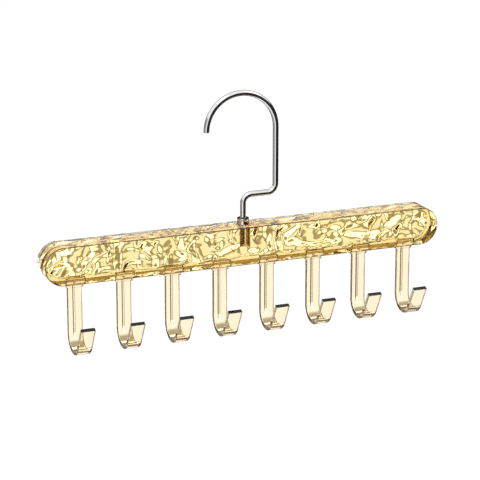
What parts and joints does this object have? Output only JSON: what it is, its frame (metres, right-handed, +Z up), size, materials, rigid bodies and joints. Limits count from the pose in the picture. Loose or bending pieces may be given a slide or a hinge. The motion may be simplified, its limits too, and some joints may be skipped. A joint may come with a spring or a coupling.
{
  "type": "delicates hanger",
  "caption": "Short straight hanger: a clear amber bar with round ends, small forward-facing hooks under it and a turning metal rail hook.",
  "frame": {"origin": "rail seat: inside of the rail hook's crown, the point that rests on the closet rail, in the rod's middle plane", "axes": "+X along the bar to the picture's right, +Y to the back, away from the garment hooks' lips, +Z up"},
  "size_m": [0.2905, 0.04, 0.1689],
  "materials": {
    "amber_plastic": "clear amber, polished front, deeply rippled back",
    "pale_plastic": "clear pale amber, polished",
    "bush_plastic": "clear natural",
    "polished_steel": "bright polished"
  },
  "bodies": {
    "rail_hook_body": {"rail_hook": "polished_steel"},
    "bar_body": {"bar": "amber_plastic", "garment_hook_1": "pale_plastic", "garment_hook_2": "pale_plastic", "garment_hook_3": "pale_plastic", "garment_hook_4": "pale_plastic", "garment_hook_5": "pale_plastic", "garment_hook_6": "pale_plastic", "garment_hook_7": "pale_plastic", "garment_hook_8": "pale_plastic", "swivel_bush": "bush_plastic", "ferrule": "polished_steel"}
  },
  "joints": [
    {"name": "rail_hook_swivel", "type": "hinge", "parent": "rail_hook_body", "child": "bar_body", "pos_m": [0.0013, 0, -0.09015], "axis": [0, 0, 1], "continuous": true}
  ]
}
